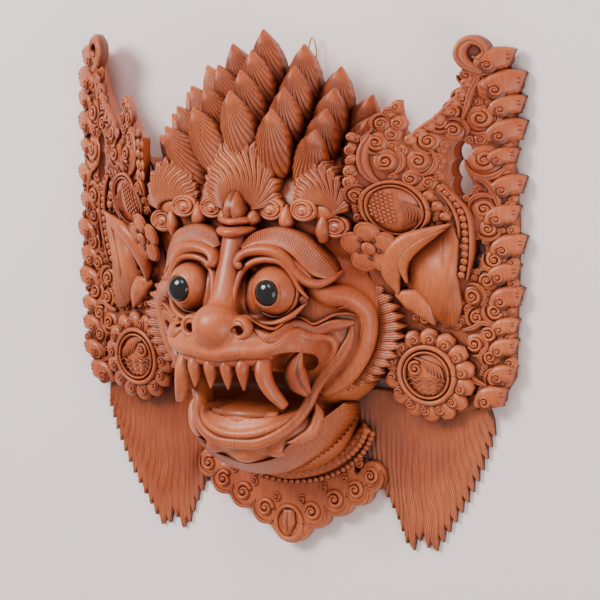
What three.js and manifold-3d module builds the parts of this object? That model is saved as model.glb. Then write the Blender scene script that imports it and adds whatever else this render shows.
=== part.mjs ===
// Carved wooden barong mask, lying on its back, in millimetres.
// +X runs to the viewer's right, +Y to the crown, +Z out of the face.
// The face block carries the crown of leaf pods, the face, the jaw and the collar.
// Two side blocks are glued to it, each with a scroll wing, ear, flower, medallion and beard panel.

import * as THREE from 'three';
import { mergeVertices } from 'three/addons/utils/BufferGeometryUtils.js';
import Module from 'manifold-3d';

const wasm = await Module();
wasm.setup();

// Driving sizes
const maskHeight = 402;
const maskWidth = 410;
const glueFace = 94;
const glueGap = 0.3;
const wallThickness = 17;
const plankThickness = 13;
const wingEdgeHeight = 8;
const wingRootDepth = 44;
const podColumns = 7;
const podRows = 4;
const podLength = 56;
const podWidth = 33;
const podThickness = 18;
const eyeballRadius = 19.5;
const pupilRadius = 10;
const pupilDepth = 4;
const pupilBulge = 2.2;
const noseRadius = 17;
const incisorLength = 20;
const incisorWidth = 11;
const tuskWidth = 11;
const fangWidth = 10;
const hornWidth = 17;
const medallionRadius = 27;
const flowerRadius = 19;
const flowerPetals = 5;
const earThickness = 11;
const beardThickness = 9;
const beardLocks = 9;
const fringeTufts = 10;
const collarThickness = 13;
const wireDiameter = 1.2;
const wireLoopWidth = 7;

// The free carving is laid out on a mask of this height and follows its height.
// The side blocks are laid out from this glue line, this wide, and follow the room they get.
const layoutHeight = 402;
const layoutGlueLine = 94;
const layoutWingWidth = 111;
const share = maskHeight / layoutHeight;
const halfWidth = maskWidth / 2;
const wingShare = (halfWidth - glueFace) / layoutWingWidth;
const far = maskHeight;

const at = (x, y, z) => new THREE.Vector3(x, y, z).multiplyScalar(share);
const mirrorPoint = (point) => new THREE.Vector3(-point.x, point.y, point.z);
const lerp = THREE.MathUtils.lerp;
const radians = THREE.MathUtils.degToRad;

// How far the side blocks lean back from the face, by height on the mask
function wingSweep(y) {
  const stops = [[-110, 3], [-60, 10], [0, 15], [80, 32], [220, 32]];
  const height = THREE.MathUtils.clamp(y / share, -110, 219);
  const next = stops.findIndex((stop) => stop[0] > height);
  const [low, high] = [stops[next - 1], stops[next]];
  const along = (height - low[0]) / (high[0] - low[0]);
  return Math.tan(radians(lerp(low[1], high[1], along)));
}

// Height of the side block's face over the back plane
const wingFace = (x, y) => wingEdgeHeight + (halfWidth - x) * wingSweep(y);

const wingAcross = (x) => glueFace + (x - layoutGlueLine) * wingShare;

// A point on the side block's face
function onWing(x, y, lift = 0) {
  const wide = wingAcross(x);
  const high = y * share;
  return new THREE.Vector3(wide, high, wingFace(wide, high) + lift);
}

// Closed solids from three.js geometry, joined and cut
function solid(geometry) {
  geometry.deleteAttribute('normal');
  geometry.deleteAttribute('uv');
  const welded = mergeVertices(geometry, 1e-4);
  const index = welded.index.array;
  const triangles = [];
  for (let i = 0; i < index.length; i += 3) {
    const [a, b, c] = [index[i], index[i + 1], index[i + 2]];
    if (a !== b && b !== c && c !== a) triangles.push(a, b, c);
  }
  return new wasm.Manifold(new wasm.Mesh({
    numProp: 3,
    vertProperties: Float32Array.from(welded.attributes.position.array),
    triVerts: Uint32Array.from(triangles),
  }));
}

const join = (geometries) => geometries.map(solid).reduce((sum, next) => sum.add(next));

function mirrored(geometry) {
  const copy = geometry.index ? geometry.toNonIndexed() : geometry.clone();
  const place = copy.attributes.position;
  for (let i = 0; i < place.count; i += 3) {
    const corners = [0, 2, 1].map((k) => new THREE.Vector3().fromBufferAttribute(place, i + k));
    corners.forEach((corner, k) => place.setXYZ(i + k, -corner.x, corner.y, corner.z));
  }
  return copy;
}

const bothSides = (geometries) => [...geometries, ...geometries.map(mirrored)];

function meshGeometry(manifold) {
  const mesh = manifold.getMesh();
  const geometry = new THREE.BufferGeometry();
  geometry.setAttribute('position', new THREE.BufferAttribute(new Float32Array(mesh.vertProperties), 3));
  geometry.setIndex(new THREE.BufferAttribute(new Uint32Array(mesh.triVerts), 1));
  return geometry;
}

function moveVertices(geometry, move) {
  const place = geometry.attributes.position;
  const point = new THREE.Vector3();
  for (let i = 0; i < place.count; i += 1) {
    point.fromBufferAttribute(place, i);
    const moved = move(point.clone());
    place.setXYZ(i, moved.x, moved.y, moved.z);
  }
  return geometry;
}

// Rounded swelling with its poles on the Z axis
function ball(centre, radii, around = 10, up = 6) {
  const geometry = new THREE.SphereGeometry(1, around, up);
  geometry.rotateX(Math.PI / 2);
  geometry.scale(radii.x, radii.y, radii.z);
  geometry.translate(centre.x, centre.y, centre.z);
  return geometry;
}

const block = (low, high) => {
  const size = high.clone().sub(low);
  const geometry = new THREE.BoxGeometry(size.x, size.y, size.z);
  geometry.translate((low.x + high.x) / 2, (low.y + high.y) / 2, (low.z + high.z) / 2);
  return geometry;
};

function valueAlong(values, t) {
  const span = t * (values.length - 1);
  const start = Math.min(Math.floor(span), values.length - 2);
  return lerp(values[start], values[start + 1], span - start);
}

// Bar along a smooth path, its half widths listed from start to end; flat lowers it towards the wood
function roll(points, halfWidths, { sides = 6, steps = 6, flat = 1, out = new THREE.Vector3(0, 0, 1) } = {}) {
  const path = new THREE.CatmullRomCurve3(points);
  return moveVertices(new THREE.CylinderGeometry(1, 1, 1, sides, steps), (point) => {
    const t = THREE.MathUtils.clamp(point.y + 0.5, 0, 1);
    const along = path.getTangent(t);
    const lift = out.clone().addScaledVector(along, -out.dot(along)).normalize();
    const side = along.clone().cross(lift);
    const half = valueAlong(halfWidths, t);
    const place = path.getPoint(t).addScaledVector(side, point.x * half);
    return place.addScaledVector(lift, point.z * half * flat);
  });
}

// Pleated sheet from an inner edge to an outer edge: ridges run outwards and end in points
function pleats(inner, outer, count, { thick, rise, notch }) {
  return moveVertices(new THREE.BoxGeometry(1, 1, 1, count * 2, 1, 1), (point) => {
    const u = point.x + 0.5;
    const ridge = Math.round(u * count * 2) % 2 === 1;
    const tip = point.y > 0;
    const root = inner(u);
    const end = outer(u);
    const place = tip ? root.clone().lerp(end, ridge ? 1 : 1 - notch) : root;
    if (point.z > 0) place.z += thick + (ridge ? rise : 0) * (tip ? 0.6 : 1);
    return place;
  });
}

const arc = (centre, radiusX, radiusY, from, to, drop = 0) => (u) => {
  const angle = radians(lerp(from, to, u));
  const away = Math.abs(2 * u - 1);
  const swing = new THREE.Vector3(radiusX * Math.cos(angle), radiusY * Math.sin(angle), -drop * away * away);
  return centre.clone().add(swing.multiplyScalar(share));
};

const line = (points) => {
  const path = new THREE.CatmullRomCurve3(points, false, 'catmullrom', 0.2);
  return (u) => path.getPoint(u);
};

// Scroll boss: a low button with a dimple, set on a face that leans along X
function boss(centre, radius, height, lean = 0, sides = 5) {
  const geometry = moveVertices(new THREE.CylinderGeometry(0.72, 1, 1, sides, 1), (point) => {
    const middle = Math.hypot(point.x, point.z) < 0.1 && point.y > 0;
    return new THREE.Vector3(point.x * radius, (middle ? 0.1 : point.y) * height, point.z * radius);
  });
  geometry.rotateX(Math.PI / 2);
  geometry.rotateY(lean);
  geometry.translate(centre.x, centre.y, centre.z);
  return geometry;
}

// Flower or leaf wheel with a scalloped edge
function rosette(centre, radius, petals, notch, height, lean = 0, facets = 2) {
  const geometry = moveVertices(new THREE.CylinderGeometry(1, 1, 1, petals * facets, 1), (point) => {
    const turn = Math.atan2(point.x, point.z);
    const middle = Math.hypot(point.x, point.z) < 0.1;
    const reach = middle ? 0 : radius * (1 - notch * (1 - Math.abs(Math.cos((petals * turn) / 2))));
    const high = point.y > 0 ? (middle ? 0.2 : 0.5) : -0.5;
    return new THREE.Vector3(Math.sin(turn) * reach, high * height, Math.cos(turn) * reach);
  });
  geometry.rotateX(Math.PI / 2);
  geometry.rotateY(lean);
  geometry.translate(centre.x, centre.y, centre.z);
  return geometry;
}

// Crown: rows of leaf pods fan out over the top of the head
function podTip(column, row) {
  const back = row / (podRows - 1);
  const side = Math.abs(column);
  const angle = radians(lerp(15.5, 11, back)) * column;
  const reach = lerp(134, 181 - 8 * side, back);
  const height = lerp(94 - 3 * side * side, 48 - 7.5 * side, back);
  return at(reach * Math.sin(angle), 20 + reach * Math.cos(angle), height);
}

function pod(column, row) {
  const tip = podTip(column, row);
  const angle = radians(lerp(14, 9, row / (podRows - 1))) * column;
  const rise = lerp(0.36, 0.12, row / (podRows - 1));
  const axis = new THREE.Vector3(Math.sin(angle), Math.cos(angle), rise).normalize();
  const root = tip.clone().addScaledVector(axis, -podLength);
  const middle = tip.clone().addScaledVector(axis, -podLength * 0.5);
  middle.z += podThickness * 0.14;
  root.z -= podThickness * 0.2;
  const half = podWidth / 2;
  return roll([root, middle, tip], [half * 0.85, half * 1.02, 0.4], {
    sides: 4, steps: 2, flat: podThickness / podWidth,
  });
}

function crownPods() {
  const side = (podColumns - 1) / 2;
  const pods = [];
  for (let row = 0; row < podRows; row += 1) {
    for (let column = -side; column <= side; column += 1) pods.push(pod(column, row));
  }
  return pods;
}

function crownFans() {
  const fan = { thick: 10, rise: 3, notch: 0.12 };
  const centre = pleats(
    arc(at(0, 68, 66), 9, 9, 155, 25), arc(at(0, 68, 68), 35, 56, 160, 20, 6), 7, fan,
  );
  const side = pleats(
    arc(at(70, 66, 58), 7, 7, 160, 20), arc(at(70, 67, 62), 25, 40, 165, 15, 5), 5, fan,
  );
  return [centre, ...bothSides([side])];
}

function browBeads() {
  const beads = [[24, 58, 78], [52, 62, 74], [79, 58, 66]];
  return bothSides(beads.map(([x, y, z]) => ball(at(x, y, z), at(13, 9, 8), 7, 3)));
}

function browHorn() {
  const half = hornWidth / 2;
  return [roll(
    [at(0, 44, 84), at(0, 56, 91), at(0, 68, 88), at(0, 80, 79)],
    [half, half * 0.95, half * 0.6, 1],
    { sides: 6, steps: 4, out: new THREE.Vector3(1, 0, 0) },
  )];
}

// The head under the carving
const browCentre = at(0, 62, -20);
const browRadii = at(200, 72, 94);
const crownCentre = at(0, 70, -10);
const crownRadii = at(104, 116, 85);
const headCentre = at(0, -12, 20);
const headRadii = at(106, 92, 64);
const neckCentre = at(0, -98, 14);
const neckRadii = at(64, 46, 40);

const browForm = () => ball(browCentre, browRadii, 12, 6);

function headForms() {
  return [
    ball(crownCentre, crownRadii, 12, 6),
    ball(headCentre, headRadii, 14, 7),
    ball(at(0, -36, 66), at(66, 25, 55), 10, 6),
    ball(at(0, -104, 42), at(60, 31, 45), 10, 6),
    ball(at(0, -119, 50), at(31, 17, 30), 7, 4),
    ball(neckCentre, neckRadii, 8, 4),
  ];
}

function brows() {
  const lowerEdge = line([at(12, 33, 86), at(34, 38, 84), at(54, 35, 80), at(66, 25, 76), at(80, 17, 68)]);
  const upperEdge = line([at(5, 38, 84), at(31, 52, 80), at(54, 50, 76), at(71, 41, 68), at(92, 20, 60)]);
  return bothSides([
    roll(
      [at(9, 27, 98), at(20, 33, 95), at(38, 36, 92), at(54, 32, 88), at(66, 22, 83), at(80, 16, 74),
        at(96, 20, 60)],
      [5, 6, 6, 6, 6, 6, 3],
      { sides: 4, steps: 6 },
    ),
    pleats(lowerEdge, upperEdge, 7, { thick: 8, rise: 1.6, notch: 0.12 }),
  ]);
}

// Eyes: a ball in rolled lids, with a seat for the black pupil
const eyeCentre = at(42, 6, 88);
const pupilSeat = new THREE.Vector3(
  eyeCentre.x - 2 * share, eyeCentre.y - 1.5 * share, eyeCentre.z + eyeballRadius - pupilDepth,
);

function eyes() {
  const profile = [
    [0, 1], [0.5, 0.87], [0.86, 0.5], [1, 0.12], [1.12, 0.34], [1.34, 0.12], [1.4, -0.5], [0, -0.9],
  ].map(([reach, high]) => new THREE.Vector2(reach * eyeballRadius, high * eyeballRadius)).reverse();
  const eye = new THREE.LatheGeometry(profile, 11).rotateX(Math.PI / 2);
  eye.translate(eyeCentre.x, eyeCentre.y, eyeCentre.z);
  return bothSides([eye]);
}

function pupilPlug(radius, depth, bulge) {
  const profile = [
    new THREE.Vector2(0, 0),
    new THREE.Vector2(radius, 0),
    new THREE.Vector2(radius, depth),
    new THREE.Vector2(radius * 0.7, depth + bulge * 0.7),
    new THREE.Vector2(0, depth + bulge),
  ];
  return new THREE.LatheGeometry(profile, 10).rotateX(Math.PI / 2);
}

function pupilSeats() {
  const seat = pupilPlug(pupilRadius + glueGap, pupilDepth * 4, 0);
  seat.translate(pupilSeat.x, pupilSeat.y, pupilSeat.z);
  return bothSides([seat]);
}

function nose() {
  const bulb = at(0, -18, 114);
  const nostril = at(21, -22, 111);
  return [
    roll([at(0, 44, 84), at(0, 30, 95), at(0, 8, 104), bulb], [9, 9, 9, 11], {
      sides: 4, steps: 3, out: new THREE.Vector3(1, 0, 0),
    }),
    ball(bulb, new THREE.Vector3(1, 1, 1).multiplyScalar(noseRadius), 10, 6),
    ...bothSides([ball(nostril, at(13, 10, 13), 7, 4)]),
  ];
}

const nostrilHoles = () => bothSides([ball(at(27, -26, 122), at(5, 4, 9), 5, 3)]);

function lipsAndCheeks() {
  const upperLip = [
    at(0, -42, 117), at(22, -39, 115), at(38, -36, 109), at(52, -33, 101), at(66, -33, 90), at(76, -38, 80),
  ];
  const whiskers = [
    at(16, -22, 108), at(32, -29, 104), at(46, -23, 98), at(60, -19, 90), at(76, -20, 78),
    at(87, -32, 64), at(84, -50, 60), at(72, -66, 60), at(58, -82, 60), at(38, -100, 64), at(14, -112, 72),
  ];
  const cheek = [
    at(70, 14, 64), at(86, 8, 56), at(97, -6, 46), at(99, -26, 42), at(92, -48, 40), at(78, -68, 40),
    at(62, -80, 42),
  ];
  const lowerLip = [at(60, -66, 70), at(52, -80, 76), at(38, -93, 80), at(20, -102, 83), at(0, -104, 84)];
  return bothSides([
    roll(upperLip, [6, 6, 5, 5, 5, 4], { sides: 4, steps: 5 }),
    roll(whiskers, [5, 7, 8, 8, 8, 8, 8, 8, 8, 8, 6], { sides: 4, steps: 10, flat: 0.7 }),
    roll(cheek, [4, 8, 9, 9, 8, 7, 4], { sides: 5, steps: 6 }),
    roll(lowerLip, [3, 5, 5, 5, 5], { sides: 4, steps: 5, flat: 0.8 }),
  ]);
}

const mouthHollow = () => [
  ball(at(0, -75, 86), at(66, 22, 58), 10, 5),
  ...bothSides([ball(at(50, -52, 84), at(20, 13, 26), 7, 4)]),
];

function mouthParts() {
  const incisors = [-23, -8, 8, 23].map((x) => roll(
    [at(x, -46, 104), at(x, -46, 108).add(new THREE.Vector3(0, -incisorLength * 0.6, 0)),
      at(x, -46, 109).add(new THREE.Vector3(0, -incisorLength * 1.3, 0))],
    [incisorWidth / 2, incisorWidth / 2, 1.4],
    { sides: 4, steps: 2, flat: 0.8 },
  ));
  const tusk = roll(
    [at(36, -46, 96), at(37, -58, 101), at(40, -70, 97), at(46, -81, 86)],
    [tuskWidth / 2, tuskWidth / 2, tuskWidth * 0.36, 0.8],
    { sides: 4, steps: 3 },
  );
  const fang = roll(
    [at(52, -80, 74), at(48, -66, 84), at(50, -52, 88), at(55, -38, 84)],
    [fangWidth * 0.4, fangWidth / 2, fangWidth * 0.36, 0.8],
    { sides: 4, steps: 3 },
  );
  const tongue = ball(at(0, -92, 62), at(30, 10, 26), 8, 5);
  return [...incisors, tongue, ...bothSides([tusk, fang])];
}

// Short hair that frames the cheeks
function cheekFringe() {
  return bothSides([pleats(
    arc(at(40, -25, 20), 50, 34, 60, -86), arc(at(40, -25, 20), 83, 54, 60, -86),
    fringeTufts, { thick: 14, rise: 3, notch: 0.16 },
  )]);
}

// Collar under the chin: lobed plate with a raised band and scroll bosses
const collarLobes = [[0, -183, 18], [22, -174, 14], [43, -163, 14], [62, -154, 13], [76, -142, 12]];

function collar() {
  const lobes = [...collarLobes.slice(1).reverse().map(([x, y, radius]) => [-x, y, radius]), ...collarLobes];
  const outline = new THREE.Shape();
  outline.moveTo(-82 * share, -104 * share);
  lobes.forEach(([x, y, radius]) => {
    const middle = -90 + x * 0.55;
    outline.absarc(x * share, y * share, radius * share, radians(middle - 60), radians(middle + 60), false);
  });
  outline.lineTo(82 * share, -104 * share);
  outline.closePath();
  const plate = new THREE.ExtrudeGeometry(outline, {
    depth: collarThickness + 2, bevelEnabled: false, curveSegments: 3,
  }).translate(0, 0, -2);
  const scrolls = lobes.map(([x, y, radius]) => boss(
    at(x, y, 0).setZ(collarThickness - 0.5), radius * 0.62 * share, 6,
  ));
  const band = roll(
    [at(-74, -104, 12), at(-44, -131, 12), at(0, -142, 14), at(44, -131, 12), at(74, -104, 12)],
    [6, 7, 8, 7, 6], { sides: 4, steps: 6 },
  );
  return [plate, ...scrolls, band];
}

// Brass loop that the mask hangs on, let into the top of the crown
function wirePath(radius) {
  const x = 18 * share;
  const half = wireLoopWidth / 2;
  const points = [
    new THREE.Vector3(x - half, 166 * share, 7), new THREE.Vector3(x - half, 186 * share, 7),
    new THREE.Vector3(x, 196 * share, 7),
    new THREE.Vector3(x + half, 186 * share, 7), new THREE.Vector3(x + half, 166 * share, 7),
  ];
  return roll(points, [radius, radius], { sides: 6, steps: 10 });
}

// Hollow back, open behind, with wood left round it
function backHollow() {
  const wall = new THREE.Vector3(1, 1, 1).multiplyScalar(wallThickness);
  const upper = crownRadii.clone().sub(wall);
  upper.x = glueFace - wallThickness;
  const lower = headRadii.clone().sub(wall);
  lower.x = Math.min(lower.x, glueFace - wallThickness);
  lower.y -= wallThickness;
  return [
    ball(at(0, 40, 0), new THREE.Vector3(upper.x, upper.y * 0.72, upper.z * 0.66), 10, 5),
    ball(at(0, -10, 0), new THREE.Vector3(lower.x, lower.y, lower.z), 10, 5),
  ];
}

// The straight line where the collar meets the beard panel
function beardSide(gap) {
  const cut = block(new THREE.Vector3(gap / 2, -200, -10), new THREE.Vector3(300, 100, 100));
  cut.rotateZ(radians(28));
  cut.translate(68 * share, -122 * share, 0);
  return cut;
}

// Everything under the flat back
const behind = block(new THREE.Vector3(-far, -far, -far), new THREE.Vector3(far, far, 0));

function faceBlock() {
  const sides = bothSides([block(
    new THREE.Vector3(glueFace, 12 * share, -far), new THREE.Vector3(far, far, far),
  )]);
  const shoulders = bothSides([block(
    new THREE.Vector3(glueFace, -far, -far), new THREE.Vector3(far, far, far),
  )]);
  let body = solid(browForm()).subtract(join(shoulders)).add(join(headForms()));
  body = body.subtract(join(mouthHollow())).add(join(mouthParts()));
  body = body.add(join([...lipsAndCheeks(), ...nose(), ...brows(), ...eyes()]));
  body = body.add(join([...cheekFringe(), ...browBeads(), ...browHorn(), ...crownFans(), ...crownPods()]));
  body = body.add(join(collar()).subtract(join(bothSides([beardSide(0)]))));
  body = body.subtract(join(sides)).subtract(join(pupilSeats())).subtract(join(nostrilHoles()));
  body = body.subtract(solid(wirePath(wireDiameter / 2 + glueGap)));
  return body.subtract(join(backHollow())).subtract(solid(behind.clone()));
}

// Side block: a warped slab, cut to the outline of the wing
function slab(top, thickness, low = -104, high = 203, rows = 6) {
  return moveVertices(new THREE.BoxGeometry(1, 1, 1, 1, rows, 1), (point) => {
    const x = lerp(glueFace + glueGap, halfWidth + 4, point.x + 0.5);
    const y = lerp(low, high, point.y + 0.5) * share;
    const z = wingFace(x, y) + top - (point.z > 0 ? 0 : thickness * Math.hypot(1, wingSweep(y)));
    return new THREE.Vector3(x, y, z);
  });
}

function wingShape(points) {
  return new THREE.Shape(points.map(([x, y]) => new THREE.Vector2(wingAcross(x), y * share)));
}

// Upright cutters reach from under the mask to over its highest carving
const cutterFoot = -20 * share;
const cutterDepth = 140 * share;

const prism = (shape) => new THREE.ExtrudeGeometry(shape, {
  depth: cutterDepth, bevelEnabled: false,
}).translate(0, 0, cutterFoot);

const disc = ([x, y, radius]) => {
  const geometry = new THREE.CylinderGeometry(radius * share, radius * share, cutterDepth, 6, 1);
  geometry.rotateX(Math.PI / 2);
  geometry.translate(wingAcross(x), y * share, cutterFoot + cutterDepth / 2);
  return geometry;
};

// Lobes of the scalloped outer edge, from the top curl down to the medallion
const edgeLobes = [
  [176, 187, 9], [190, 180, 8], [196, 162, 9], [198, 146, 7], [198, 127, 8], [195, 108, 6],
  [199, 86, 7], [195, 64, 7], [199, 41, 7.5], [195, 20, 7], [197, 2, 7.5], [195, -20, 6],
  [194, -36, 6.5], [193, -56, 6.5], [184, -74, 8],
];

// Scroll bosses on the wing
const wingScrolls = [
  [176, 187, 8], [185, 160, 8], [194, 143, 7], [192, 120, 7], [178, 134, 7], [162, 126, 8],
  [146, 115, 8], [122, 106, 11], [138, 92, 8], [103, 76, 8], [189, 32, 8], [186, 69, 8], [190, -8, 9],
];

function wingPlank() {
  const outline = wingShape([
    [90, -24], [90, 118], [104, 122], [126, 151], [129.6, 120.5], [140, 131], [148, 136], [157, 147],
    [164, 155], [171, 168], [168, 180], [169, 190], [182, 190], [192, 176], [197, 160], [200, 120],
    [198, 100], [201, 60], [200, 0], [198, -60], [184, -80], [140, -92], [112, -76], [104, -54],
  ]);
  const holes = [
    [[169, 120], [176, 117], [171, 104], [177, 87], [169, 72], [160, 86], [160, 101]],
    [[171, 43], [183, 45], [186, 37], [178, 34], [175, 22], [168, 23]],
  ].map((points) => prism(wingShape(points)));
  return join([prism(outline), ...edgeLobes.map((lobe) => disc(lobe))]).subtract(join(holes));
}

function ear() {
  const outline = wingShape([
    [112, 18], [118, 32], [140, 42], [163, 59], [165.5, 45], [163, 12], [165, -14],
    [159, -21], [151, -18], [141, -4], [129, 3],
  ]);
  const flap = solid(prism(outline)).intersect(solid(slab(earThickness, earThickness + 4, -24, 62, 2)));
  const rim = roll(
    [onWing(118, 12, 6), onWing(120, 30, 10), onWing(138, 40, 12), onWing(162, 57, 11)],
    [4, 5, 4, 1], { sides: 4, steps: 4 },
  );
  const scoop = ball(onWing(143, 22, 14), at(18, 19, 9), 7, 4);
  return flap.subtract(solid(scoop)).add(solid(rim));
}

function wingRelief() {
  const scrolls = wingScrolls.map(([x, y, radius]) => {
    const place = onWing(x, y, 1);
    return boss(place, radius * share, 7, Math.atan(wingSweep(place.y)));
  });
  const oval = onWing(122, 72, 0);
  const stem = roll(
    [onWing(152, 84, 2), onWing(166, 78, 2), onWing(171, 58, 2), onWing(170, 32, 2), onWing(165, 12, 2)],
    [3, 4, 4, 4, 3], { sides: 4, steps: 4 },
  );
  const crest = roll(
    [onWing(130, 112, 1), onWing(150, 134, 1), onWing(166, 154, 1), onWing(173, 176, 1)],
    [4, 4, 4, 3], { sides: 4, steps: 3 },
  );
  const leaf = roll(
    [onWing(110, 124, 2), onWing(106, 108, 3), onWing(112, 94, 3), onWing(132, 88, 2), onWing(146, 74, 1)],
    [2, 4, 4, 4, 2], { sides: 4, steps: 4 },
  );
  return [...scrolls, stem, crest, leaf, ball(oval, at(21, 15, 8), 8, 5)];
}

function templeFlower() {
  const place = onWing(107, 38, 6);
  const lean = Math.atan(wingSweep(place.y));
  const middle = place.clone().add(new THREE.Vector3(2, 0, 4));
  return [
    rosette(place, flowerRadius, flowerPetals, 0.25, 10, lean, 4),
    ball(middle, new THREE.Vector3(5, 5, 4), 6, 3),
  ];
}

function medallion() {
  const place = onWing(139, -58, 4);
  const lean = Math.atan(wingSweep(place.y));
  const out = new THREE.Vector3(Math.sin(lean), 0, Math.cos(lean));
  const above = place.clone().addScaledVector(out, 4);
  const profile = [[0, -6], [1, -6], [1, 2], [0.9, 5], [0.78, 2], [0.4, 4], [0, 4]]
    .map(([reach, high]) => new THREE.Vector2(reach * medallionRadius, high));
  const dish = new THREE.LatheGeometry(profile, 12).rotateX(Math.PI / 2).rotateY(lean);
  dish.translate(above.x, above.y, above.z);
  return [rosette(place, medallionRadius * 1.42, 11, 0.16, 10, lean), dish];
}

function beardPanel() {
  const top = line([at(178, -88, -2), at(110, -66, -2), at(52, -70, -2)]);
  const foot = line([
    at(177, -104, -2), at(164, -142, -2), at(146, -170, -2), at(125, -199, -2), at(107, -199, -2),
    at(92, -168, -2), at(76, -146, -2), at(62, -124, -2),
  ]);
  return pleats(top, foot, beardLocks, { thick: beardThickness, rise: 2, notch: 0.12 });
}

function sideBlock() {
  const inside = block(
    new THREE.Vector3(-far, -far, -far), new THREE.Vector3(glueFace + glueGap, far, far),
  );
  const facets = 16;
  const clear = 1 / Math.cos(Math.PI / facets);
  const cheekRoom = new THREE.CylinderGeometry(clear, clear, 300 * share, facets, 1).rotateX(Math.PI / 2);
  cheekRoom.scale(83 * share + glueGap, 54 * share + glueGap, 1);
  cheekRoom.translate(40 * share, -25 * share, 0);
  const neckRoom = ball(neckCentre, neckRadii.clone().addScalar(glueGap), 8, 4);
  const headRoom = ball(headCentre, headRadii.clone().addScalar(glueGap), 14, 7);
  const root = wingShape([[90, 40], [90, 118], [104, 120], [112, 100], [112, 50]]);
  const rootBlock = solid(prism(root)).intersect(solid(slab(-1, wingRootDepth, 30, 125, 2)));
  let body = wingPlank().intersect(solid(slab(0, plankThickness)));
  body = body.add(rootBlock).add(ear()).add(join([...wingRelief(), ...templeFlower()]));
  body = body.subtract(solid(inside)).add(join(medallion()));
  const beard = solid(beardPanel()).intersect(solid(beardSide(glueGap)));
  body = body.add(beard).subtract(solid(cheekRoom)).subtract(join([neckRoom, headRoom]));
  return body.subtract(solid(behind.clone()));
}

// Finishes
const carvedWood = new THREE.MeshStandardMaterial({ color: 0xb0633a, roughness: 0.45, metalness: 0 });
const blackPupil = new THREE.MeshStandardMaterial({ color: 0x14130f, roughness: 0.08, metalness: 0 });
const brassWire = new THREE.MeshStandardMaterial({ color: 0xa98545, roughness: 0.35, metalness: 0.9 });

const mask = new THREE.Group();

function addPart(name, geometry, material, place = new THREE.Vector3()) {
  geometry.computeVertexNormals();
  const mesh = new THREE.Mesh(geometry, material.clone());
  mesh.name = name;
  mesh.position.copy(place);
  mask.add(mesh);
}

const wing = meshGeometry(sideBlock());
addPart('face_block', meshGeometry(faceBlock()), carvedWood);
addPart('wing_right', wing, carvedWood);
addPart('wing_left', mirrored(wing), carvedWood);
const seatLift = new THREE.Vector3(0, 0, glueGap);
const pupil = pupilPlug(pupilRadius, pupilDepth, pupilBulge);
addPart('pupil_right', pupil, blackPupil, pupilSeat.clone().add(seatLift));
addPart('pupil_left', pupil.clone(), blackPupil, mirrorPoint(pupilSeat).add(seatLift));
addPart('hanging_wire', wirePath(wireDiameter / 2), brassWire);

export default mask;
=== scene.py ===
# %% [markdown]
# A carved wooden barong mask, lying on its back on a pale floor.
# The solids give the true outline and depth. Here each carved form is made again with the
# finish a carver leaves: leaf veins, hair strands, scrolls, beads and stain in the cuts.

# %% Load the frame
import bpy, bmesh, math
import numpy as np
from mathutils import Matrix, Vector


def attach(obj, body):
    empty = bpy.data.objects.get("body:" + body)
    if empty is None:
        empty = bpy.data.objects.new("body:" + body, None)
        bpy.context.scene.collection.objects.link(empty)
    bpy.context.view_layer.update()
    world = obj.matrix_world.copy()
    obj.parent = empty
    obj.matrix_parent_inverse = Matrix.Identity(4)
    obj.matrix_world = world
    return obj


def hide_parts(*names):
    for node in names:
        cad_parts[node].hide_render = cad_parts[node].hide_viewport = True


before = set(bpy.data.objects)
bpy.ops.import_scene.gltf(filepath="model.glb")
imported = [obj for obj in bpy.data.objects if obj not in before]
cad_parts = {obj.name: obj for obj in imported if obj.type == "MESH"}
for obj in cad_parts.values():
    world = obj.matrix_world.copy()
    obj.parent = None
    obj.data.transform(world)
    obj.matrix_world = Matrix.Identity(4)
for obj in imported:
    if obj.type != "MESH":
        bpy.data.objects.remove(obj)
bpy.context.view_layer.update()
MM = 0.001

# %% [markdown]
# The camera stands where the photographer stood: well to the right and a little towards the
# crown. The mask lies down, so the camera looks down on it and keeps the crown at the top of
# the picture. Its axes are built from two angles, because a tracking helper would choose its
# own way up.

# %% Camera
def add_object(name, data):
    """Puts a mesh, a lamp or a camera into the scene."""
    made = bpy.data.objects.new(name, data)
    bpy.context.scene.collection.objects.link(made)
    return made


CAMERA_AZIMUTH = math.radians(33.37)
CAMERA_ELEVATION = math.radians(4.65)
CAMERA_DISTANCE = 2.637
CAMERA_AIM = Vector((0.0012, -0.0098, -0.001))
CAMERA_LENS = 201.66

towards = Vector((
    math.sin(CAMERA_AZIMUTH) * math.cos(CAMERA_ELEVATION),
    math.sin(CAMERA_ELEVATION),
    math.cos(CAMERA_AZIMUTH) * math.cos(CAMERA_ELEVATION),
))
across = Vector((0, 1, 0)).cross(towards).normalized()
upwards = towards.cross(across)
camera_data = bpy.data.cameras.new("camera")
camera_data.lens = CAMERA_LENS
camera = add_object("camera", camera_data)
camera.matrix_world = Matrix((across, upwards, towards)).transposed().to_4x4()
camera.location = CAMERA_AIM + towards * CAMERA_DISTANCE
bpy.context.scene.camera = camera
print("camera at", [round(v, 3) for v in camera.location])

# %% [markdown]
# The main light is a wide soft panel at the upper left, with a weaker warm one at the right that
# picks out the side scrolls and one over the crown. Big panels give the soft edges that the
# photo's shadow has, and the world's pale pink light lifts the rest.

# %% Lights and floor
def panel(name, place, size, power, colour):
    data = bpy.data.lights.new(name, "AREA")
    data.shape = "DISK"
    data.size = size
    data.energy = power
    data.color = colour
    lamp = add_object(name, data)
    lamp.location = place
    lamp.rotation_euler = (-Vector(place)).to_track_quat("-Z", "Y").to_euler()


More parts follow.
